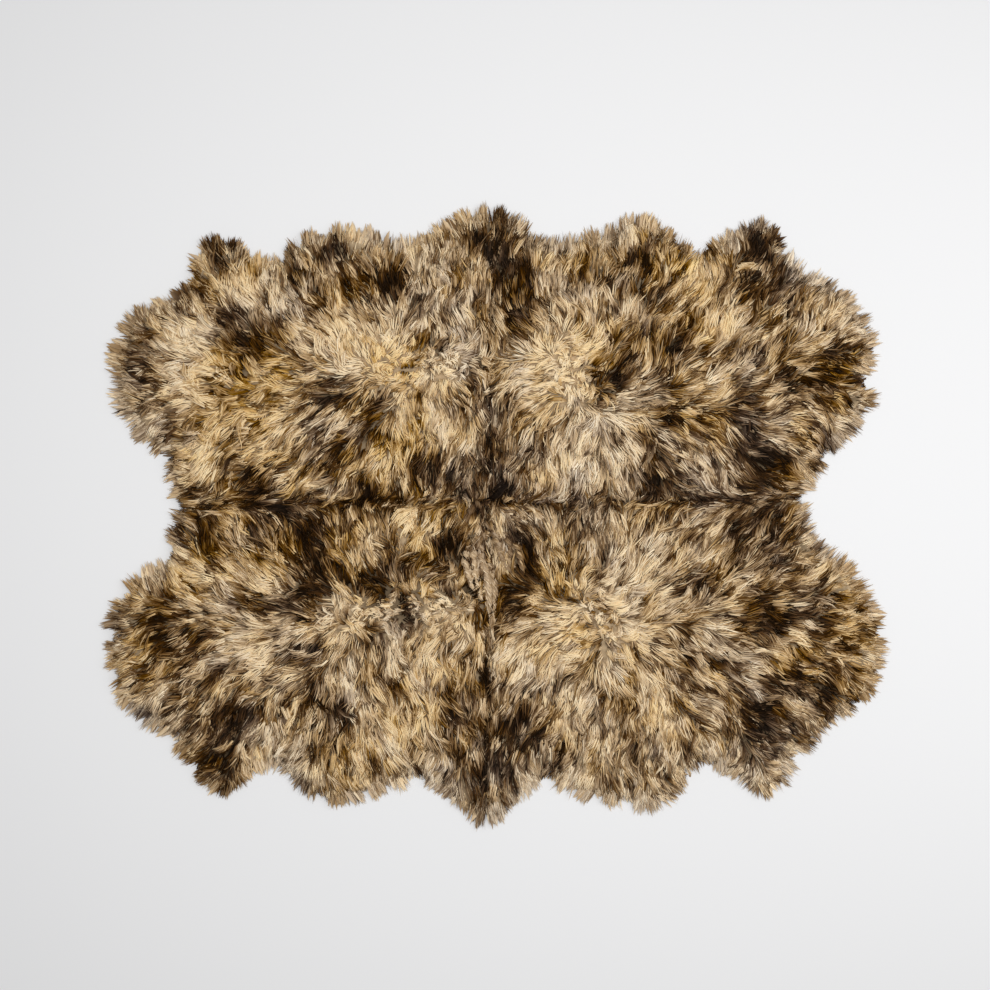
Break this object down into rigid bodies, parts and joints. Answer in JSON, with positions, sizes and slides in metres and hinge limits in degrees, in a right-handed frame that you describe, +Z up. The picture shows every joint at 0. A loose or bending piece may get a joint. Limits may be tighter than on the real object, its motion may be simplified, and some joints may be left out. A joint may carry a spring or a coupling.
{
  "type": "sheepskin rug",
  "caption": "Long-wool sheepskin floor rug of whole skins sewn edge to edge, with a lobed outline and mottled brown and cream wool; lies flat on a floor.",
  "frame": {"origin": "on the floor, under the middle of the rug's bounding box", "axes": "+X along the rug's longer side, +Y along its shorter side, +Z up out of the floor"},
  "size_m": [1.7638, 1.4018, 0.0562],
  "materials": {
    "fleece": "long mottled brown and cream wool",
    "hide": "pale suede"
  },
  "bodies": {
    "root": {"skin_back_left": "fleece", "skin_back_right": "fleece", "skin_front_left": "fleece", "skin_front_right": "fleece"}
  },
  "joints": []
}
